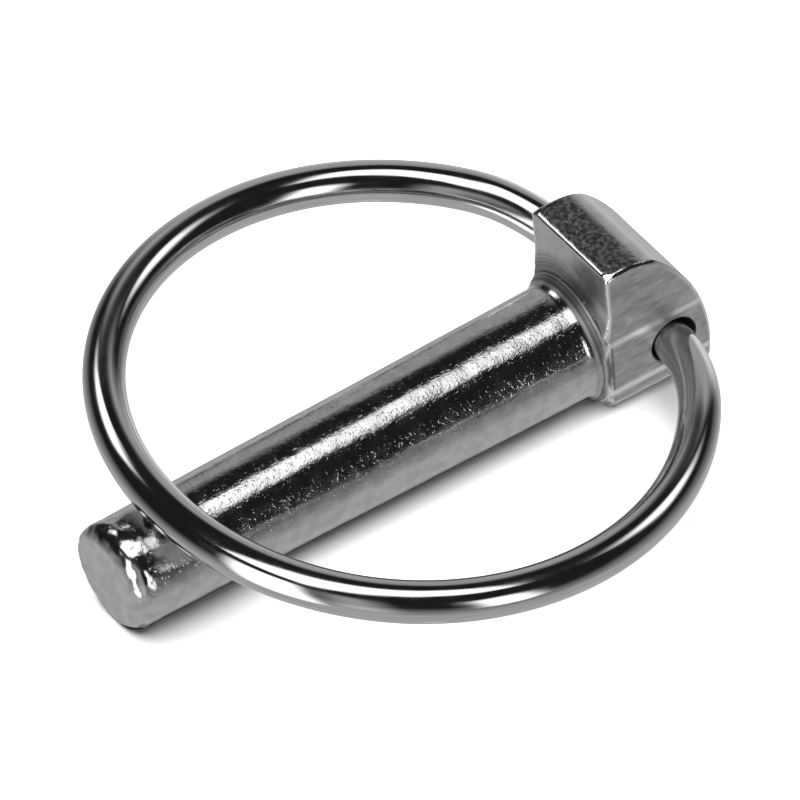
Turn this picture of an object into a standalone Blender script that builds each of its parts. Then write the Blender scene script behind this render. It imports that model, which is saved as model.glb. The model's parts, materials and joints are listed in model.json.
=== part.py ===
"""Lynch pin: a forged steel pin whose cross-bored head carries a snap-over spring wire ring.

The pin is first laid out about its own axis: the shank runs along X with its tip towards -X, the
head's bearing face is at x = 0, and the bore runs along Y. An empty then lays the whole part on
the ground as it comes to rest, and a second empty on the bore's axis carries the ring.
"""
import math

import bmesh
import bpy
from mathutils import Matrix, Vector

MM = 0.001

# Shank, turned about X.
SHANK_LENGTH = 47.1 * MM        # bearing face to tip
HEAD_END_RADIUS = 5.25 * MM
TIP_END_RADIUS = 4.79 * MM
TIP_ROUND = 1.2 * MM
FILLET_RADIUS = 1.05 * MM       # where the shank runs into the bearing face
ROOT_DEPTH = 1.5 * MM           # of the turned body inside the head

# Head: a D seen from the side, with its flat front as the bearing face.
HEAD_WIDTH = 10.9 * MM
HEAD_TOP = 10.4 * MM            # above the shank's axis
HEAD_BOTTOM = 5.35 * MM         # below the shank's axis
HEAD_LENGTH = 10.1 * MM
TOP_FLAT_LENGTH = 4.0 * MM
BACK_RADIUS = 15.6 * MM         # the round back
EDGE_ROUND = 0.3 * MM
FOOT_ROUND = 2.1 * MM           # the two lower side edges

# Cross-bore for the ring.
BORE_X = 6.3 * MM
BORE_Z = -0.3 * MM
BORE_RADIUS = 2.35 * MM

# Ring: spring wire bent to a circle, with its two ends turned into the bore.
WIRE_RADIUS = 1.82 * MM
RING_RADIUS = 24.8 * MM         # of the wire's centre line
RING_CENTRE = 24.0 * MM         # from the bore's axis, in the ring's plane
RING_OFFSET = 1.95 * MM         # the circle's plane stands off the bore's axis
RING_ROLL = math.radians(-4.8)  # the circle leans about the line from bore to tip
END_GAP = 1.6 * MM              # between the two ends, inside the bore
STRAIGHT_END = 2.8 * MM         # half-width of the straight ends
ARC_START = math.radians(42.5)  # where an end's bend has run into the circle
BEND_HANDLE = 0.36              # of the bend's chord

REST_GAP = 0.3 * MM             # between the ring at rest and the shank under it
TURN_STEPS = 64
ARC_STEP = math.radians(6.0)
WIRE_POINTS = 72                # along the circle
BEND_POINTS = 9
TRIM = 20 * MM                  # how far blanks and cutters stand past what they trim


def clear_scene():
    for item in list(bpy.data.objects):
        bpy.data.objects.remove(item, do_unlink=True)


def new_collection(name):
    collection = bpy.data.collections.new(name)
    bpy.context.scene.collection.children.link(collection)
    return collection


def metal(name, colour, roughness):
    material = bpy.data.materials.new(name)
    material.use_nodes = True
    shader = material.node_tree.nodes["Principled BSDF"]
    shader.inputs["Base Color"].default_value = (*colour, 1.0)
    shader.inputs["Metallic"].default_value = 1.0
    shader.inputs["Roughness"].default_value = roughness
    return material


def arc(centre, radius, start, end):
    """Points on a circle in the profile's plane, from one angle to another, both included."""
    count = max(2, round(abs(end - start) / ARC_STEP))
    angles = [start + (end - start) * i / count for i in range(count + 1)]
    return [(centre[0] + radius * math.cos(a), centre[1] + radius * math.sin(a)) for a in angles]


def shank_radius(x):
    """Radius of the tapered shank at a place along its axis."""
    return HEAD_END_RADIUS + (TIP_END_RADIUS - HEAD_END_RADIUS) * -x / SHANK_LENGTH


def turned(name, profile, collection):
    """A body turned about local Z from (radius, height) points that run from top to bottom."""
    mesh = bpy.data.meshes.new(name)
    points = [(radius, 0.0, height) for radius, height in profile]
    mesh.from_pydata(points, [(i, i + 1) for i in range(len(points) - 1)], [])
    body = bpy.data.objects.new(name, mesh)
    collection.objects.link(body)
    screw = body.modifiers.new("turn", "SCREW")
    screw.axis = "Z"
    screw.steps = TURN_STEPS
    screw.render_steps = TURN_STEPS
    screw.use_merge_vertices = True
    screw.merge_threshold = 0.00001
    return body


def flat_outline(name, outline, thickness, collection):
    """A flat outline in local XY, thickened evenly along local Z, as a welded mesh."""
    curve = bpy.data.curves.new(name + "_outline", "CURVE")
    curve.dimensions = "2D"
    curve.fill_mode = "BOTH"
    curve.extrude = thickness / 2
    spline = curve.splines.new("POLY")
    spline.points.add(len(outline) - 1)
    spline.use_cyclic_u = True
    for point, (x, y) in zip(spline.points, outline):
        point.co = (x, y, 0.0, 1.0)
    return welded_mesh(name, curve, collection)


def welded_mesh(name, curve, collection):
    """The curve's solid as a mesh object with its loose caps welded on."""
    source = bpy.data.objects.new(name + "_curve", curve)
    collection.objects.link(source)
    bpy.context.view_layer.update()
    evaluated = source.evaluated_get(bpy.context.evaluated_depsgraph_get())
    mesh = bpy.data.meshes.new_from_object(evaluated)
    mesh.name = name
    body = bmesh.new()
    body.from_mesh(mesh)
    bmesh.ops.remove_doubles(body, verts=body.verts, dist=0.000001)
    bmesh.ops.recalc_face_normals(body, faces=body.faces)
    body.to_mesh(mesh)
    body.free()
    solid = bpy.data.objects.new(name, mesh)
    collection.objects.link(solid)
    solid.matrix_world = source.matrix_world.copy()
    bpy.data.objects.remove(source, do_unlink=True)
    return solid


def as_cutter(cutter):
    cutter.hide_render = True
    cutter.display_type = "WIRE"


def add_boolean(body, cutter, operation):
    boolean = body.modifiers.new(cutter.name, "BOOLEAN")
    boolean.operation = operation
    boolean.solver = "EXACT"
    boolean.object = cutter


def shank_profile():
    """(radius, height) points, from inside the head down to the tip's end face."""
    flange = HEAD_END_RADIUS + FILLET_RADIUS
    fillet = arc((flange, -FILLET_RADIUS), FILLET_RADIUS, math.radians(90), math.radians(180))
    corner = (TIP_END_RADIUS - TIP_ROUND, -SHANK_LENGTH + TIP_ROUND)
    tip = arc(corner, TIP_ROUND, 0.0, math.radians(-90))
    return [(0.0, ROOT_DEPTH), (flange, ROOT_DEPTH), *fillet, *tip, (0.0, -SHANK_LENGTH)]


def head_outline():
    """The head seen from its near side, in (x, z), with a foot left over to be trimmed."""
    back_centre_x = HEAD_LENGTH - BACK_RADIUS
    flat_end = TOP_FLAT_LENGTH - back_centre_x
    back_centre_z = HEAD_TOP - math.sqrt(BACK_RADIUS ** 2 - flat_end ** 2)
    start = math.asin((HEAD_TOP - back_centre_z) / BACK_RADIUS)
    foot = -(HEAD_BOTTOM + FILLET_RADIUS)
    end = math.asin((foot - back_centre_z) / BACK_RADIUS)
    back = arc((back_centre_x, back_centre_z), BACK_RADIUS, start, end)
    front_top = arc((EDGE_ROUND, HEAD_TOP - EDGE_ROUND), EDGE_ROUND,
                    math.radians(180), math.radians(90))
    return [(0.0, foot), *front_top, *back]


def clearance_outline():
    """Below the shank's lowest line at the head, in (x, z), from before the fillet to the root."""
    front, rear = -2 * FILLET_RADIUS, 2 * ROOT_DEPTH
    return [(front, -HEAD_END_RADIUS - TRIM), (rear, -HEAD_END_RADIUS - TRIM),
            (rear, -HEAD_END_RADIUS), (front, -HEAD_END_RADIUS)]


def section_outline():
    """The head seen along the shank, in (y, z): sharp above, rounded below."""
    half = HEAD_WIDTH / 2
    top, bottom = HEAD_TOP - EDGE_ROUND, FOOT_ROUND - HEAD_BOTTOM
    quarter = math.radians(90)
    return [
        *arc((half - EDGE_ROUND, top), EDGE_ROUND, 0.0, quarter),
        *arc((EDGE_ROUND - half, top), EDGE_ROUND, quarter, 2 * quarter),
        *arc((FOOT_ROUND - half, bottom), FOOT_ROUND, 2 * quarter, 3 * quarter),
        *arc((half - FOOT_ROUND, bottom), FOOT_ROUND, 3 * quarter, 4 * quarter),
    ]


def build_pin(parts, cutters, frame):
    """Shank and head in one piece: turned, joined, trimmed to the head's section, and bored."""
    pin = turned("pin", shank_profile(), parts)
    pin.rotation_euler = (0.0, math.radians(90), 0.0)

    # The fillet is cut away under the shank, so that the part stands on the head's whole foot.
    clearance = flat_outline("fillet_clearance", clearance_outline(), HEAD_WIDTH + TRIM, cutters)
    clearance.rotation_euler = (math.radians(90), 0.0, 0.0)
    add_boolean(pin, clearance, "DIFFERENCE")

    block = flat_outline("head_blank", head_outline(), HEAD_WIDTH + TRIM, cutters)
    block.rotation_euler = (math.radians(90), 0.0, 0.0)
    add_boolean(pin, block, "UNION")

    reach = SHANK_LENGTH + HEAD_LENGTH + TRIM
    section = flat_outline("head_section", section_outline(), reach, cutters)
    across = Matrix(((0, 0, 1), (1, 0, 0), (0, 1, 0)))
    section.rotation_euler = across.to_euler()
    section.location.x = (HEAD_LENGTH - SHANK_LENGTH) / 2
    add_boolean(pin, section, "INTERSECT")

    bpy.ops.mesh.primitive_cylinder_add(vertices=TURN_STEPS, radius=BORE_RADIUS, depth=TRIM)
    bore = bpy.context.object
    bore.name = "cross_bore"
    for holder in list(bore.users_collection):
        holder.objects.unlink(bore)
    cutters.objects.link(bore)
    bore.rotation_euler = (math.radians(90), 0.0, 0.0)
    bore.location = (BORE_X, 0.0, BORE_Z)
    add_boolean(pin, bore, "DIFFERENCE")

    for cutter in (clearance, block, section, bore):
        as_cutter(cutter)
    for item in (pin, clearance, block, section, bore):
        item.parent = frame
    pin.data.materials.append(metal("zinc_plated_forging", (0.52, 0.52, 0.53), 0.3))
    return pin


def wire_side(side):
    """One half of the ring's centre line, from its end in the bore to the point over the tip.

    Local X runs from the bore towards the tip, Y along the bore, and Z off the ring's plane.
    """
    lean = math.tan(RING_ROLL)

    def on_circle(angle):
        y = side * RING_RADIUS * math.sin(angle)
        return Vector((RING_CENTRE - RING_RADIUS * math.cos(angle), y, RING_OFFSET + lean * y))

    start = Vector((0.0, side * STRAIGHT_END, 0.0))
    end = on_circle(ARC_START)
    heading = Vector((math.sin(ARC_START), side * math.cos(ARC_START),
                      side * lean * math.cos(ARC_START))).normalized()
    handle = BEND_HANDLE * (end - start).length
    first = start + Vector((0.0, side * handle, 0.0))
    second = end - heading * handle
    points = [Vector((0.0, side * END_GAP / 2, 0.0))]
    for i in range(BEND_POINTS):
        t = i / BEND_POINTS
        s = 1 - t
        points.append(s ** 3 * start + 3 * s * s * t * first + 3 * s * t * t * second + t ** 3 * end)
    half = WIRE_POINTS // 2
    for i in range(half):
        points.append(on_circle(ARC_START + (math.pi - ARC_START) * i / half))
    return points


def build_ring(parts, hinge):
    """The wire ring, in its hinge's frame."""
    over_tip = Vector((RING_CENTRE + RING_RADIUS, 0.0, RING_OFFSET))
    path = [*wire_side(-1), over_tip, *reversed(wire_side(1))]
    curve = bpy.data.curves.new("ring_wire", "CURVE")
    curve.dimensions = "3D"
    curve.bevel_depth = WIRE_RADIUS
    curve.bevel_resolution = 4
    curve.use_fill_caps = True
    spline = curve.splines.new("POLY")
    spline.points.add(len(path) - 1)
    for point, place in zip(spline.points, path):
        point.co = (*place, 1.0)
    ring = welded_mesh("ring", curve, parts)
    ring.parent = hinge
    ring.data.materials.append(metal("zinc_plated_spring_wire", (0.6, 0.6, 0.61), 0.15))
    return ring


def ring_rest_angle():
    """Slope of the ring's plane at which its wire lies on the shank, a small gap apart."""
    reach = math.hypot(RING_CENTRE + RING_RADIUS, RING_OFFSET)
    own_angle = math.atan2(RING_OFFSET, RING_CENTRE + RING_RADIUS)
    slope = own_angle
    for _ in range(8):
        x = BORE_X - reach * math.cos(slope)
        height = shank_radius(x) + (WIRE_RADIUS + REST_GAP) / math.cos(RING_ROLL) - BORE_Z
        slope = math.asin(height / reach)
    return slope - own_angle


def rest_tilt():
    """Tilt at which the head's foot and the tip's lower edge touch the ground together."""
    drop = HEAD_BOTTOM - TIP_END_RADIUS
    return math.atan2(drop, SHANK_LENGTH - TIP_ROUND)


def lay_on_ground(frame, bodies):
    """Moves the frame so that the part stands at z = 0 and its length is centred on x = 0."""
    bpy.context.view_layer.update()
    graph = bpy.context.evaluated_depsgraph_get()
    corners = []
    for body in bodies:
        evaluated = body.evaluated_get(graph)
        corners += [evaluated.matrix_world @ vertex.co for vertex in evaluated.data.vertices]
    tip_end = min(corner.x for corner in corners)
    head_end = max(corner.x for corner in corners)
    frame.location.x -= (tip_end + head_end) / 2
    frame.location.z -= min(corner.z for corner in corners)


def shade_round(body, angle):
    body.data.shade_smooth()
    body.data.set_sharp_from_angle(angle=math.radians(angle))


def main():
    clear_scene()
    parts = new_collection("lynch_pin")
    cutters = new_collection("cutters")

    frame = bpy.data.objects.new("pin_frame", None)
    frame.rotation_euler = (0.0, -rest_tilt(), 0.0)
    parts.objects.link(frame)

    hinge = bpy.data.objects.new("ring_hinge", None)
    hinge.parent = frame
    hinge.location = (BORE_X, 0.0, BORE_Z)
    # Turned half round, so that local X points to the tip, and then lifted to the rest slope.
    hinge.rotation_mode = "QUATERNION"
    slope = ring_rest_angle()
    toward_tip = Vector((-math.cos(slope), 0.0, math.sin(slope)))
    off_plane = Vector((math.sin(slope), 0.0, math.cos(slope)))
    along_bore = off_plane.cross(toward_tip)
    turn = Matrix((toward_tip, along_bore, off_plane)).transposed()
    hinge.rotation_quaternion = turn.to_quaternion()
    parts.objects.link(hinge)

    pin = build_pin(parts, cutters, frame)
    ring = build_ring(parts, hinge)
    shade_round(ring, 60)
    lay_on_ground(frame, (pin, ring))


main()
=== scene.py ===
"""The lynch pin's looks: a fine mesh of the forging and of its spring wire ring, their zinc-plated
finishes, a pale floor, soft studio light and the camera. Shapes are worked out in millimetres in
the part's own layout, where the shank runs along X with its tip towards -X, the head's bearing
face is at x = 0 and the bore runs along Y, and are then laid where the CAD part lies.
"""

import json
import math
from itertools import product

import bpy
import numpy as np
from mathutils import Matrix, Vector


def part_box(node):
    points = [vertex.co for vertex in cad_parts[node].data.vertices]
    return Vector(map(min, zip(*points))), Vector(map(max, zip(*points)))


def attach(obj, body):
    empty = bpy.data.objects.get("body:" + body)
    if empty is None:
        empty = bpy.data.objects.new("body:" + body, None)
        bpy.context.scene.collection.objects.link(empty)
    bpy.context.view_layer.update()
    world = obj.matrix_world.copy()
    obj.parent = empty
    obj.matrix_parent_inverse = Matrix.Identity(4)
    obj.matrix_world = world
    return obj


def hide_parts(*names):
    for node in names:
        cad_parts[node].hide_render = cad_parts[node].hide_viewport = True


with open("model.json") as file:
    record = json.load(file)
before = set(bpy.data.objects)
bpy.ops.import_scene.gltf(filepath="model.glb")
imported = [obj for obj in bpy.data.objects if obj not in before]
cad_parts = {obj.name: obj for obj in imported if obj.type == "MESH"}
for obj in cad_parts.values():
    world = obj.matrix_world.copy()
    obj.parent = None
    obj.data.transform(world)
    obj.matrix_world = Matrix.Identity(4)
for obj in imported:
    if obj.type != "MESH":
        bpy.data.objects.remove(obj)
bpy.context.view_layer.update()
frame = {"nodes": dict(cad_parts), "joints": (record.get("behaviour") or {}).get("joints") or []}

MM = 0.001

# The forging, in millimetres.
SHANK_LENGTH = 47.1
HEAD_END_RADIUS = 5.25
TIP_END_RADIUS = 4.79
TIP_ROUND = 1.2
FLARE_LENGTH = 1.6      # the shank opens out before the bearing face
FLARE_LEAN = math.radians(35)
COLLAR_RADIUS = 6.1     # where the flare ends
COLLAR_FOOT = 7.8       # where the raised collar has run out into the bearing face
HEAD_HALF_WIDTH = 5.45
HEAD_TOP = 10.4
HEAD_BOTTOM = 5.35
HEAD_LENGTH = 10.1
TOP_FLAT_LENGTH = 4.0
BACK_RADIUS = 15.6
FOOT_ROUND = 2.1
HINGE_X = 6.3
HINGE_Z = -0.3
BORE_X = 6.45           # the shown bore is a little off the hinge, and tighter than the CAD's
BORE_Z = -0.42
BORE_RADIUS = 2.17

# The ring, in millimetres.
WIRE_RADIUS = 1.82
RING_RADIUS = 24.8
RING_CENTRE = 24.0
RING_OFFSET = 1.95
RING_ROLL = math.radians(-4.8)
END_GAP = 1.6
STRAIGHT_END = 2.8
ARC_START = math.radians(42.5)
BEND_HANDLE = 0.36
REST_GAP = 0.3

FORGING_CELL = 0.172    # the forging's mesh, in millimetres
WIRE_STEP = 0.26        # along the wire
WIRE_SIDES = 76         # round the wire

# Bevels worn onto the head's upper edges.
FRONT_BEVEL_LEAN = math.radians(22)
FRONT_BEVEL_REACH = 0.36
SIDE_BEVEL_LEAN = math.radians(50)
SIDE_BEVEL_DEPTH = 0.26
CORNER_BEVEL_FACING = (-0.30, -0.40, 0.87)
CORNER_BEVEL_DEPTH = 0.41
BEVEL_FRONT = -0.5      # the bevels don't reach further ahead than this, over the shank

TURNING_PITCH = 0.62    # between turning marks on the bearing face

# The camera. Its target is in millimetres and its distance in metres.
CAMERA_TARGET = (4.0471, 5.2864, 2.2241)
CAMERA_AZIMUTH = math.radians(-31.288)
CAMERA_ELEVATION = math.radians(43.809)
CAMERA_ROLL = math.radians(4.501)
CAMERA_DISTANCE = 1.0073
CAMERA_LENS = 540.0

# The surroundings, in metres.
FLOOR_REACH = 4.0
FLOOR_COLOUR = (0.8, 0.8, 0.8, 1)
SHADE_HALF_WIDTH = 0.0051
SHADE_FADE = (0.0046, 0.0028)
SHADE_HEIGHT = -0.0001
SKY_ENERGY = 8.0
SKY_SPREAD = math.radians(76)


def add_object(name, data):
    thing = bpy.data.objects.new(name, data)
    bpy.context.scene.collection.objects.link(thing)
    return thing


# ---------------------------------------------------------------- places

def rest_tilt():
    return math.atan2(HEAD_BOTTOM - TIP_END_RADIUS, SHANK_LENGTH - TIP_ROUND)


def shank_radius(x):
    return HEAD_END_RADIUS - (TIP_END_RADIUS - HEAD_END_RADIUS) * x / SHANK_LENGTH


def ring_rest_slope():
    reach = math.hypot(RING_CENTRE + RING_RADIUS, RING_OFFSET)
    own_angle = math.atan2(RING_OFFSET, RING_CENTRE + RING_RADIUS)
    slope = own_angle
    for _ in range(8):
        x = HINGE_X - reach * math.cos(slope)
        height = shank_radius(x) + (WIRE_RADIUS + REST_GAP) / math.cos(RING_ROLL) - HINGE_Z
        slope = math.asin(height / reach)
    return slope - own_angle


hinge = Vector(frame["joints"][0]["pos_m"])
lay = Matrix.Rotation(-rest_tilt(), 4, "Y")
forging_place = Matrix.Translation(hinge) @ lay @ Matrix.Translation((-HINGE_X * MM, 0, -HINGE_Z * MM))
rest_slope = ring_rest_slope()
toward_tip = Vector((-math.cos(rest_slope), 0.0, math.sin(rest_slope)))
off_plane = Vector((math.sin(rest_slope), 0.0, math.cos(rest_slope)))
ring_axes = Matrix((toward_tip, off_plane.cross(toward_tip), off_plane)).transposed().to_4x4()
ring_place = Matrix.Translation(hinge) @ lay @ ring_axes


# ---------------------------------------------------------------- camera

def set_camera():
    target = Vector(CAMERA_TARGET) * MM
    outward = math.cos(CAMERA_ELEVATION)
    back = Vector((math.sin(CAMERA_AZIMUTH) * outward, -math.cos(CAMERA_AZIMUTH) * outward,
                   math.sin(CAMERA_ELEVATION)))
    level = Vector((math.cos(CAMERA_AZIMUTH), math.sin(CAMERA_AZIMUTH), 0.0))
    down = (-back).cross(level)
    right = level * math.cos(CAMERA_ROLL) + down * math.sin(CAMERA_ROLL)
    up = back.cross(right)
    data = bpy.data.cameras.new("camera")
    data.sensor_width = 36.0
    data.lens = CAMERA_LENS
    data.clip_start = 0.01
    data.clip_end = 20.0
    camera = add_object("camera", data)
    camera.matrix_world = (Matrix.Translation(target + back * CAMERA_DISTANCE)
                           @ Matrix((right, up, back)).transposed().to_4x4())
    bpy.context.scene.camera = camera


# ---------------------------------------------------------------- surface texture in geometry

class Noise:
    """Smooth seeded noise in space, within about -1 to 1."""

    def __init__(self, seed):
        lean = np.random.RandomState(seed).normal(size=(4096, 3))
        self.lean = lean / np.linalg.norm(lean, axis=1, keepdims=True)

    def __call__(self, points, size):
        place = points / np.asarray(size, float)
        cell = np.floor(place).astype(np.int64)
        inner = place - cell
        fade = inner ** 3 * (inner * (inner * 6 - 15) + 10)
        total = np.zeros(len(points))
        for corner in product((0, 1), repeat=3):
            at = cell + corner
            key = (at[:, 0] * 73856093 ^ at[:, 1] * 19349663 ^ at[:, 2] * 83492791) & 4095
            weight = np.where(corner, fade, 1 - fade).prod(axis=1)
            total += weight * ((inner - corner) * self.lean[key]).sum(axis=1)
        return total * 1.7


def ramp(value, start, end):
    """0 before start, 1 after end, smooth between; start may be the larger."""
    t = np.clip((value - start) / (end - start), 0.0, 1.0)
    return t * t * (3 - 2 * t)


# ---------------------------------------------------------------- forging

def both(a, b, radius):
    """Distance to what is inside both shapes, with the edge rounded."""
    bend = np.hypot(np.maximum(a + radius, 0), np.maximum(b + radius, 0))
    return np.minimum(-radius, np.maximum(a, b)) + bend


def either(a, b, radius):
    """Distance to what is inside one shape or the other, with the corner filled."""
    bend = np.hypot(np.maximum(radius - a, 0), np.maximum(radius - b, 0))
    return np.maximum(radius, np.minimum(a, b)) - bend


def forging_parts(points):
    """Distances in millimetres to the surfaces that bound the forging, negative inside."""
    x, y, z = points.T
    reach = np.hypot(y, z)
    turn = np.arctan2(z, y)
    # The crop is a little out of square, and rounded most on the near upper side.
    tip_round = 0.75 + 0.95 * ramp(np.cos(turn - math.radians(130)), -0.3, 0.75)
    side_of_shank = reach - shank_radius(np.minimum(x, 0))
    shank = both(side_of_shank, -SHANK_LENGTH - x - 0.04 * y, tip_round)
    flare = (side_of_shank - (x + FLARE_LENGTH) * math.tan(FLARE_LEAN)) * math.cos(FLARE_LEAN)
    flare = np.maximum(flare, reach - COLLAR_RADIUS)
    rise = FLARE_LENGTH - (COLLAR_RADIUS - HEAD_END_RADIUS) / math.tan(FLARE_LEAN)
    face = -x - rise * np.clip((COLLAR_FOOT - reach) / (COLLAR_FOOT - COLLAR_RADIUS), 0, 1)
    body = either(shank, np.minimum(face * 0.98, flare), 0.22)
    back_x = HEAD_LENGTH - BACK_RADIUS
    back_z = HEAD_TOP - math.sqrt(BACK_RADIUS ** 2 - (TOP_FLAT_LENGTH - back_x) ** 2)
    back = np.hypot(np.maximum(x - back_x, 0), z - back_z) - BACK_RADIUS
    top = both(z - HEAD_TOP, back, 1.1)
    past_flare = np.maximum(-x - 1.7, 0)
    side = np.abs(y) - HEAD_HALF_WIDTH - past_flare
    # In front of the head the fillet is cut away, clear of what the foot stands on.
    foot = HEAD_BOTTOM + (HEAD_END_RADIUS - HEAD_BOTTOM) * ramp(x, 0.1, -0.1)
    bottom = -foot - z - past_flare
    return body, side, bottom, top


def forging_distance(points):
    """Signed distance in millimetres to the forging's surface, negative inside."""
    x, y, z = points.T
    body, side, bottom, top = forging_parts(points)
    ahead = np.maximum(x, BEVEL_FRONT)
    front_bevel = ((FRONT_BEVEL_REACH - ahead) * math.sin(FRONT_BEVEL_LEAN)
                   + (z - HEAD_TOP) * math.cos(FRONT_BEVEL_LEAN))
    side_bevel = ((side + SIDE_BEVEL_DEPTH) * math.sin(SIDE_BEVEL_LEAN)
                  + top * math.cos(SIDE_BEVEL_LEAN))
    corner = np.stack([ahead, HEAD_HALF_WIDTH - np.abs(y), z - HEAD_TOP], -1)
    corner_bevel = corner @ np.array(CORNER_BEVEL_FACING) + CORNER_BEVEL_DEPTH
    top = np.maximum(np.maximum(top, front_bevel), np.maximum(side_bevel, corner_bevel))
    section = both(both(side, bottom, FOOT_ROUND), top, 0.08)
    whole = both(body, section, 0.12 + 0.5 * ramp(z, -2.5, -5.0))
    bore = np.hypot(x - BORE_X, z - BORE_Z) - BORE_RADIUS
    return both(whole, -bore, 0.16)


def slope_of(distance, points, step=0.004):
    out = np.empty_like(points)
    for axis in range(3):
        shift = np.zeros(3)
        shift[axis] = step
        out[:, axis] = (distance(points + shift) - distance(points - shift)) / (2 * step)
    return out


def forging_relief(points, normals):
    """Height in millimetres that the worn, plated surface stands off the true form."""
    x, y, z = points.T
    reach = np.hypot(y, z)
    shank = ramp(x, -1.2, -2.2)
    height = 0.009 * Noise(3)(points, (2.6, 1.3, 1.3)) * shank
    height += 0.0075 * Noise(4)(points, (1.0, 0.7, 0.7)) * shank
    height += 0.020 * Noise(5)(points, 7.0)
    # The end is hammered a little out of true where it was cropped.
    edge = ramp(x, -44.4, -45.6) * ramp(reach, 2.6, 3.5)
    height += 0.055 * edge * Noise(16)(points, 1.5) + 0.035 * edge * Noise(17)(points, 0.7)
    face = ramp(x, -46.6, -46.9) * ramp(reach, 3.9, 3.2)
    height += 0.012 * face * Noise(8)(points, 1.4)
    # Rough pressed patch on the top flat.
    top = ramp(normals[:, 2], 0.93, 0.985) * ramp(x, 0.45, 0.9) * ramp(x, 4.0, 3.2)
    top *= ramp(np.abs(y), 4.9, 4.3)
    rough = Noise(9)(points, (0.9, 0.7, 3.0)) + 0.5 * Noise(10)(points, (0.5, 0.5, 3.0))
    height -= 0.16 * top * ramp(rough, 0.0, 0.55)
    # Turning marks on the bearing face, round the shank's axis.
    turned = ramp(-normals[:, 0], 0.5, 0.9) * ramp(x, -1.7, -1.0)
    wander = reach + 0.10 * Noise(11)(points, 2.5)
    height += 0.007 * turned * np.sin(wander * 2 * math.pi / TURNING_PITCH) * ramp(reach, 9.5, 6.0)
    height += 0.012 * turned * Noise(12)(points, 1.6)
    # Tool marks and shallow dents on the head's sides and back.
    head = ramp(x, -0.2, 0.3)
    height += 0.012 * head * Noise(13)(points, (1.8, 1.8, 0.9))
    return height


def forging_mesh():
    """The CAD part's solid, remeshed evenly and drawn onto the true rounded form."""
    source = add_object("source", frame["nodes"]["pin"].data.copy())
    source.data.transform(Matrix.Scale(1 / MM, 4) @ forging_place.inverted())
    remesh = source.modifiers.new("even", "REMESH")
    remesh.mode = "VOXEL"
    remesh.voxel_size = FORGING_CELL
    remesh.adaptivity = 0.0
    bpy.context.view_layer.update()
    evaluated = source.evaluated_get(bpy.context.evaluated_depsgraph_get())
    mesh = bpy.data.meshes.new_from_object(evaluated)
    bpy.data.objects.remove(source)
    mesh.name = "lynch_pin_forging"
    mesh.materials.clear()

    points = np.empty(len(mesh.vertices) * 3)
    mesh.vertices.foreach_get("co", points)
    points = points.reshape(-1, 3)
    for _ in range(6):
        lean = slope_of(forging_distance, points)
        away = forging_distance(points) / np.maximum((lean ** 2).sum(axis=1), 0.25)
        points -= np.clip(away, -0.3, 0.3)[:, None] * lean
    lean = slope_of(forging_distance, points)
    normals = lean / np.linalg.norm(lean, axis=1, keepdims=True)
    shown = points + normals * forging_relief(points, normals)[:, None]
    mesh.vertices.foreach_set("co", (shown * MM).ravel())

    x, y, z = points.T
    body, side, bottom, top = forging_parts(points)
    nearest = [np.minimum(a, b) for a, b in ((body, side), (body, top), (side, top))]
    reach = np.hypot(y, z)
    # The edge mark is a painted highlight: a pale metal colour along the head's edges and in a thin
    # arc round the collar, on its near lower side.
    lip = ramp(np.abs(reach - COLLAR_RADIUS), 0.20, 0.06) * ramp(x, -0.9, -0.6) * ramp(-y - z, 0, 4)
    zones = {
        "edge": np.maximum(ramp(np.max(nearest, axis=0), -0.42, -0.12) * ramp(x, -0.9, -0.4), lip),
        "turned": ramp(reach, 8.2, 6.6) * ramp(x, -1.7, -1.3) * ramp(x, 0.3, 0.1),
        "shank": ramp(x, -1.3, -1.8) * ramp(x, -46.4, -45.6),
        "bearing": ramp(-normals[:, 0], 0.35, 0.6) * ramp(x, -1.9, -1.4),
        "top": ramp(normals[:, 2], 0.93, 0.985) * ramp(x, 4.4, 3.6) * ramp(x, -0.5, 0.2),
        "side": ramp(np.abs(normals[:, 1]), 0.9, 0.98) * ramp(x, -0.3, 0.1),
        "back": ramp(x, 3.8, 4.6) * ramp(np.abs(normals[:, 1]), 0.6, 0.3),
    }
    for name, values in zones.items():
        layer = mesh.attributes.new(name, "FLOAT", "POINT")
        layer.data.foreach_set("value", values.astype(np.float32))
    mesh.shade_smooth()
    mesh.update()
    return mesh


# ---------------------------------------------------------------- ring

def ring_side(side):
    """Half of the wire's centre line in the hinge's frame, from its end to over the tip."""
    lean = math.tan(RING_ROLL)

    def on_circle(angle):
        y = side * RING_RADIUS * np.sin(angle)
        return np.stack([RING_CENTRE - RING_RADIUS * np.cos(angle), y, RING_OFFSET + lean * y], -1)

    start = np.array([0.0, side * STRAIGHT_END, 0.0])
    end = on_circle(ARC_START)
    heading = np.array([math.sin(ARC_START), side * math.cos(ARC_START),
                        side * lean * math.cos(ARC_START)])
    heading /= np.linalg.norm(heading)
    handle = BEND_HANDLE * np.linalg.norm(end - start)
    first = start + np.array([0.0, side * handle, 0.0])
    second = end - heading * handle
    t = np.linspace(0, 1, 240, endpoint=False)[:, None]
    s = 1 - t
    bend = s ** 3 * start + 3 * s * s * t * first + 3 * s * t * t * second + t ** 3 * end
    stub = np.linspace([0.0, side * END_GAP / 2, 0.0], start, 30, endpoint=False)
    round_part = on_circle(np.linspace(ARC_START, math.pi, 1200))
    return np.concatenate([stub, bend, round_part])


def ring_path():
    """Centre line from one end of the wire to the other, at even steps, and its length."""
    near, far = ring_side(-1), ring_side(1)
    path = np.concatenate([near, far[::-1][1:]])
    travel = np.concatenate([[0.0], np.cumsum(np.linalg.norm(np.diff(path, axis=0), axis=1))])
    count = round(travel[-1] / WIRE_STEP)
    even = np.linspace(0, travel[-1], count + 1)
    path = np.stack([np.interp(even, travel, path[:, i]) for i in range(3)], -1)
    # The bends run softly into one another.
    for _ in range(12):
        path[1:-1] = path[1:-1] * 0.5 + (path[:-2] + path[2:]) * 0.25
    return path, even


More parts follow.
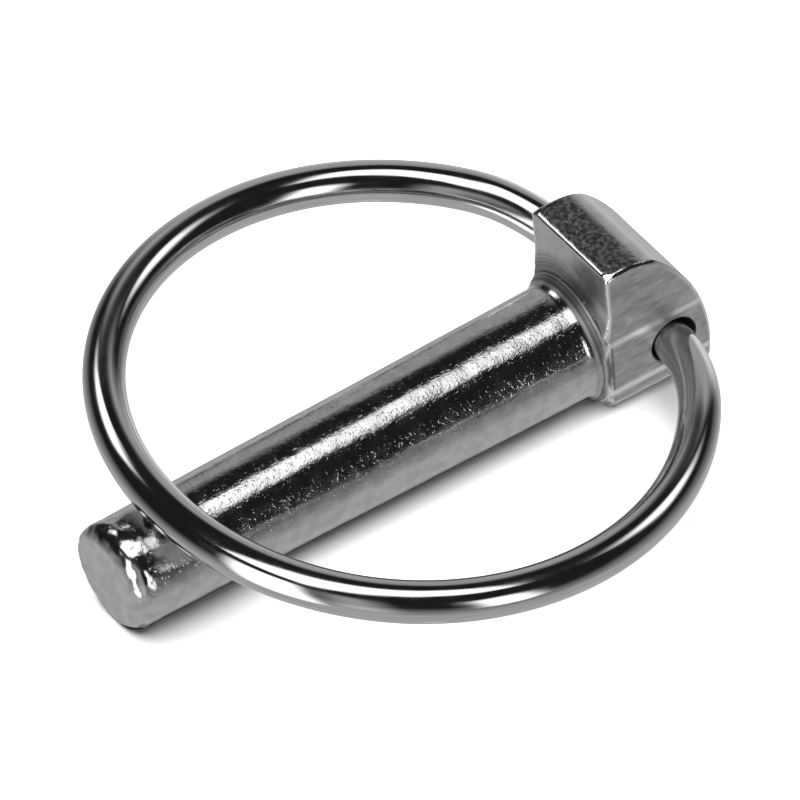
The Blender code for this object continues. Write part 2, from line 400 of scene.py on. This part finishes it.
def ring_mesh():
    path, travel = ring_path()
    heading = np.gradient(path, axis=0)
    heading /= np.linalg.norm(heading, axis=1, keepdims=True)
    inward = np.cross([0.0, 0.0, 1.0], heading)
    inward /= np.linalg.norm(inward, axis=1, keepdims=True)
    upward = np.cross(heading, inward)
    angle = np.arange(WIRE_SIDES) * 2 * math.pi / WIRE_SIDES
    around = (np.cos(angle)[None, :, None] * inward[:, None, :]
              + np.sin(angle)[None, :, None] * upward[:, None, :])
    along = np.stack(np.broadcast_arrays(travel[:, None], WIRE_RADIUS * np.cos(angle)[None, :],
                                         WIRE_RADIUS * np.sin(angle)[None, :]), -1)
    flat = along.reshape(-1, 3)
    relief = 0.010 * Noise(21)(flat, (9.0, 1.6, 1.6)) + 0.004 * Noise(22)(flat, (3.0, 0.8, 0.8))
    radius = WIRE_RADIUS + relief.reshape(len(path), WIRE_SIDES)
    # Each end is broken off square with a small round.
    inset = np.minimum(travel, travel[-1] - travel)
    radius -= (0.35 * (1 - np.sqrt(np.clip(1 - (1 - inset / 0.5) ** 2, 0, 1)))
               * (inset < 0.5))[:, None]
    verts = (path[:, None, :] + around * radius[:, :, None]).reshape(-1, 3)
    rows = len(path)
    i, j = np.meshgrid(np.arange(rows - 1), np.arange(WIRE_SIDES), indexing="ij")
    k = (j + 1) % WIRE_SIDES
    faces = np.stack([i * WIRE_SIDES + j, i * WIRE_SIDES + k, (i + 1) * WIRE_SIDES + k,
                      (i + 1) * WIRE_SIDES + j], -1).reshape(-1, 4).tolist()
    count = rows * WIRE_SIDES
    last = (rows - 1) * WIRE_SIDES
    faces += [[count, n, (n + 1) % WIRE_SIDES][::-1] for n in range(WIRE_SIDES)]
    faces += [[count + 1, last + n, last + (n + 1) % WIRE_SIDES] for n in range(WIRE_SIDES)]
    verts = np.concatenate([verts, path[:1], path[-1:]])
    mesh = bpy.data.meshes.new("lynch_pin_ring")
    mesh.from_pydata((verts * MM).tolist(), [], faces)
    mesh.validate()
    layer = mesh.attributes.new("wire", "FLOAT_VECTOR", "POINT")
    wire = np.concatenate([flat, [[0, 0, 0], [travel[-1], 0, 0]]]) * MM
    layer.data.foreach_set("vector", wire.astype(np.float32).ravel())
    mesh.shade_smooth()
    mesh.update()
    return mesh


# ---------------------------------------------------------------- materials

class Tree:
    """Short calls for building a node tree."""

    def __init__(self, tree):
        self.tree = tree

    def put(self, socket, value):
        if isinstance(value, bpy.types.NodeSocket):
            self.tree.links.new(value, socket)
        else:
            socket.default_value = value

    def add(self, kind, inputs=(), out=0, **settings):
        node = self.tree.nodes.new("ShaderNode" + kind)
        for key, value in settings.items():
            setattr(node, key, value)
        for key, value in dict(inputs).items():
            self.put(node.inputs[key], value)
        return node.outputs[out]

    def math(self, operation, a, b=0.0, c=0.0):
        return self.add("Math", {0: a, 1: b, 2: c}, operation=operation)


class Nodes(Tree):
    """Short calls for building one material's node tree."""

    def __init__(self, name):
        self.material = bpy.data.materials.new(name)
        self.material.use_nodes = True
        super().__init__(self.material.node_tree)
        self.shader = self.tree.nodes["Principled BSDF"]

    def attribute(self, name, out="Fac"):
        return self.add("Attribute", attribute_name=name, out=out)

    def stretched(self, vector, scale, turn=(0.0, 0.0, 0.0)):
        return self.add("Mapping", {"Vector": vector, "Scale": scale, "Rotation": turn})

    def noise(self, vector, scale, detail=2.0, roughness=0.5):
        return self.add("TexNoise", {"Vector": vector, "Scale": scale, "Detail": detail,
                                     "Roughness": roughness})

    def spread(self, value, low, high, to_low=0.0, to_high=1.0):
        return self.add("MapRange", {"Value": value, "From Min": low, "From Max": high,
                                     "To Min": to_low, "To Max": to_high},
                        interpolation_type="SMOOTHSTEP")

    def bump(self, height, distance, strength=1.0, normal=None):
        inputs = {"Height": height, "Distance": distance, "Strength": strength}
        if normal is not None:
            inputs["Normal"] = normal
        return self.add("Bump", inputs)

    def mix(self, factor, a, b):
        return self.add("Mix", {0: factor, 6: a, 7: b}, data_type="RGBA", out=2)


def forging_material():
    n = Nodes("zinc_plated_forging")
    place = n.add("TexCoord", out="Object")
    shank = n.attribute("shank")
    top = n.attribute("top")
    side = n.attribute("side")
    edge = n.attribute("edge")
    turned = n.attribute("turned")
    dull = n.math("MAXIMUM", n.math("MAXIMUM", n.attribute("bearing"), top), side)
    dull = n.math("MAXIMUM", dull, n.math("MULTIPLY", n.attribute("back"), 0.8))

    cloud = n.noise(place, 900.0, 3.0)
    fine = n.noise(place, 2200.0, 4.0, 0.65)
    slanted = n.stretched(place, (0.22, 1.0, 1.0), (0.0, math.radians(38), 0.0))
    slant = n.noise(slanted, 2100.0, 4.0, 0.62)
    colour = n.mix(n.spread(cloud, 0.35, 0.65), (0.47, 0.47, 0.475, 1), (0.56, 0.56, 0.565, 1))
    scored = n.math("MULTIPLY", side, n.spread(slant, 0.40, 0.64))
    colour = n.mix(scored, colour, (0.38, 0.38, 0.385, 1))
    # Turning marks run round the shank's axis.
    axes = n.add("SeparateXYZ", {0: place}).node.outputs
    round_axis = n.math("SQRT", n.math("ADD", n.math("MULTIPLY", axes["Y"], axes["Y"]),
                                       n.math("MULTIPLY", axes["Z"], axes["Z"])))
    lathe = n.noise(n.add("CombineXYZ", {0: round_axis, 1: axes["X"]}), 3600.0, 2.0, 0.6)
    colour = n.mix(turned, colour, n.mix(n.spread(lathe, 0.40, 0.62), (0.15, 0.15, 0.155, 1),
                                         (0.42, 0.42, 0.425, 1)))
    colour = n.mix(top, colour, n.mix(n.spread(fine, 0.36, 0.60), (0.27, 0.27, 0.275, 1),
                                      (0.06, 0.06, 0.062, 1)))
    # Painted highlight: a pale metal colour on the head's edges and on the arc round the collar.
    colour = n.mix(edge, colour, (0.86, 0.86, 0.865, 1))
    n.put(n.shader.inputs["Base Color"], colour)
    n.put(n.shader.inputs["Metallic"], 1.0)

    rough = n.math("MULTIPLY_ADD", dull, 0.28, 0.11)
    rough = n.math("MULTIPLY_ADD", side, 0.10, rough)
    rough = n.math("ADD", rough, n.spread(cloud, 0.3, 0.7, -0.02, 0.04))
    n.put(n.shader.inputs["Roughness"], n.math("SUBTRACT", rough, n.math("MULTIPLY", edge, 0.12)))

    # Plating grain all over, strongest on the shank, with scattered pits.
    weight = n.math("MULTIPLY_ADD", shank, 0.8, 0.2)
    grain = n.noise(n.stretched(place, (1.0, 1.3, 1.3)), 4200.0, 2.0, 0.6)
    surface = n.bump(grain, 0.000009, weight)
    pits = n.spread(n.noise(place, 3000.0, 2.0, 0.55), 0.56, 0.72)
    surface = n.bump(pits, 0.000008, weight, surface)
    # Lengthwise draw marks on the shank.
    drawn = n.noise(n.stretched(place, (0.10, 1.0, 1.0)), 2600.0, 2.0)
    surface = n.bump(drawn, 0.000016, n.math("MULTIPLY", shank, 0.5), surface)
    # Slanting scratches on the head's sides, and the pressed roughness on top.
    surface = n.bump(slant, 0.000008, n.math("MULTIPLY", side, 0.6), surface)
    surface = n.bump(lathe, 0.000030, n.math("MULTIPLY", turned, 0.8), surface)
    pressed = n.noise(place, 1500.0, 3.0, 0.6)
    surface = n.bump(pressed, 0.00022, n.math("MULTIPLY", top, 0.8), surface)
    n.put(n.shader.inputs["Normal"], surface)
    return n.material


def wire_material():
    n = Nodes("zinc_plated_spring_wire")
    wire = n.attribute("wire", "Vector")
    streak = n.noise(n.stretched(wire, (0.02, 1.0, 1.0)), 5000.0, 3.0, 0.6)
    patch = n.noise(n.stretched(wire, (0.5, 1.0, 1.0)), 900.0, 2.0)
    colour = n.mix(n.spread(streak, 0.35, 0.65), (0.50, 0.50, 0.505, 1), (0.58, 0.58, 0.585, 1))
    n.put(n.shader.inputs["Base Color"], colour)
    n.put(n.shader.inputs["Metallic"], 1.0)
    n.put(n.shader.inputs["Roughness"], n.spread(patch, 0.3, 0.7, 0.07, 0.13))
    surface = n.bump(streak, 0.000006, 0.6)
    n.put(n.shader.inputs["Normal"], surface)
    return n.material


# ---------------------------------------------------------------- floor and light

def add_floor():
    """The pale ground, which the metal doesn't reflect."""
    r = FLOOR_REACH
    mesh = bpy.data.meshes.new("floor")
    mesh.from_pydata([(-r, -r, 0), (r, -r, 0), (r, r, 0), (-r, r, 0)], [], [(0, 1, 2, 3)])
    floor = add_object("floor", mesh)
    n = Nodes("floor")
    n.put(n.shader.inputs["Base Color"], FLOOR_COLOUR)
    n.put(n.shader.inputs["Roughness"], 1.0)
    n.put(n.shader.inputs["Specular IOR Level"], 0.0)
    mesh.materials.append(n.material)
    floor.visible_glossy = False
    floor.visible_shadow = False


def add_contact_shade():
    """The dark line of contact under the shank and head, for the metal to reflect."""
    n = Nodes("contact_shade")
    n.put(n.shader.inputs["Base Color"], (0.02, 0.02, 0.02, 1))
    n.put(n.shader.inputs["Specular IOR Level"], 0.0)
    across = n.add("SeparateXYZ", {0: n.add("TexCoord", out="Object")}, out="Y")
    fade = n.spread(n.math("ABSOLUTE", across), *SHADE_FADE)
    n.put(n.shader.inputs["Alpha"], fade)
    low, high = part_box("pin")
    mesh = bpy.data.meshes.new("contact_shade")
    w = SHADE_HALF_WIDTH
    mesh.from_pydata([(low.x, -w, SHADE_HEIGHT), (high.x, -w, SHADE_HEIGHT),
                      (high.x, w, SHADE_HEIGHT), (low.x, w, SHADE_HEIGHT)], [], [(0, 1, 2, 3)])
    shade = add_object("contact_shade", mesh)
    mesh.materials.append(n.material)
    shade.visible_camera = False
    shade.visible_diffuse = False
    shade.visible_shadow = False


def add_sky():
    """Light from a wide round part of the sky, straight overhead, for the floor."""
    data = bpy.data.lights.new("sky", "SUN")
    data.angle = SKY_SPREAD
    data.energy = SKY_ENERGY
    add_object("sky", data).visible_glossy = False


# Panels of light round the part, as the metal sees them. Angles are in degrees: azimuth 0 is in
# front, towards -Y, and 90 is towards +X; then how far each panel reaches to either side, how soft
# its edge is, and its brightness.
PANELS = {
    "back_wall": dict(azimuth=137, reach=27, elevation=12, rise=26, soft=9, level=0.50),
    "back_glow": dict(azimuth=124, reach=12, elevation=-12, rise=16, soft=10, level=0.40),
    "back_left": dict(azimuth=-168, reach=16, elevation=42, rise=8, soft=7, level=3.2),
    "right": dict(azimuth=81, reach=11, elevation=38, rise=9, soft=9, level=2.8),
    "left": dict(azimuth=-75, reach=12, elevation=4, rise=34, soft=6, level=2.8),
    "front": dict(azimuth=3, reach=8, elevation=12, rise=18, soft=6, level=2.8),
    "front_left": dict(azimuth=-45, reach=8, elevation=8, rise=30, soft=8, level=0.5),
}
CEILING = dict(x=(-0.66, 0.40), y=(-0.40, 0.11), soft=0.05, level=2.2)


def set_world():
    """White behind the floor; for the metal, a dim room with its panels of light."""
    world = bpy.data.worlds.new("studio")
    bpy.context.scene.world = world
    world.use_nodes = True
    world.node_tree.nodes.clear()
    n = Tree(world.node_tree)

    def within(distance, reach, soft, level=1.0):
        return n.add("MapRange", {"Value": distance, "From Min": reach + soft,
                                  "From Max": reach - soft, "To Max": level},
                     interpolation_type="SMOOTHSTEP")

    axes = n.add("SeparateXYZ", {0: n.add("TexCoord", out="Generated")}).node.outputs
    azimuth = n.math("DEGREES", n.math("ARCTAN2", axes["X"], n.math("MULTIPLY", axes["Y"], -1.0)))
    elevation = n.math("DEGREES", n.math("ARCSINE", axes["Z"]))

    low = n.add("MapRange", {"Value": elevation, "From Min": 10.0, "From Max": -36.0, "To Max": 0.58})
    total = n.math("ADD", low, 0.018)
    for panel in PANELS.values():
        turn = n.math("WRAP", n.math("SUBTRACT", azimuth, panel["azimuth"]), 180.0, -180.0)
        across = within(n.math("ABSOLUTE", turn), panel["reach"], panel["soft"], panel["level"])
        climb = n.math("ABSOLUTE", n.math("SUBTRACT", elevation, panel["elevation"]))
        up = within(climb, panel["rise"], panel["soft"])
        total = n.math("ADD", total, n.math("MULTIPLY", across, up))
    above = n.math("MAXIMUM", axes["Z"], 0.05)
    ceiling = CEILING["level"]
    for name, (start, end) in (("X", CEILING["x"]), ("Y", CEILING["y"])):
        offset = n.math("SUBTRACT", n.math("DIVIDE", axes[name], above), (start + end) / 2)
        span = within(n.math("ABSOLUTE", offset), (end - start) / 2, CEILING["soft"])
        ceiling = n.math("MULTIPLY", ceiling, span)
    total = n.math("ADD", total, ceiling)
    seen = n.add("LightPath", out="Is Camera Ray")
    strength = n.add("Mix", {0: seen, 2: total, 3: 1.0}, data_type="FLOAT")
    shader = n.add("Background", {"Color": (1, 1, 1, 1), "Strength": strength})
    n.put(n.tree.nodes.new("ShaderNodeOutputWorld").inputs["Surface"], shader)
    world.cycles_visibility.diffuse = False


# ---------------------------------------------------------------- scene

set_camera()

forging = add_object("lynch_pin_forging", forging_mesh())
forging.matrix_world = forging_place
forging.data.materials.append(forging_material())
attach(forging, "pin")
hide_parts("pin")

ring = add_object("lynch_pin_ring", ring_mesh())
ring.matrix_world = ring_place
ring.data.materials.append(wire_material())
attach(ring, "ring")
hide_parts("ring")

add_floor()
add_contact_shade()
set_world()
add_sky()

bpy.context.scene.view_settings.view_transform = "Standard"
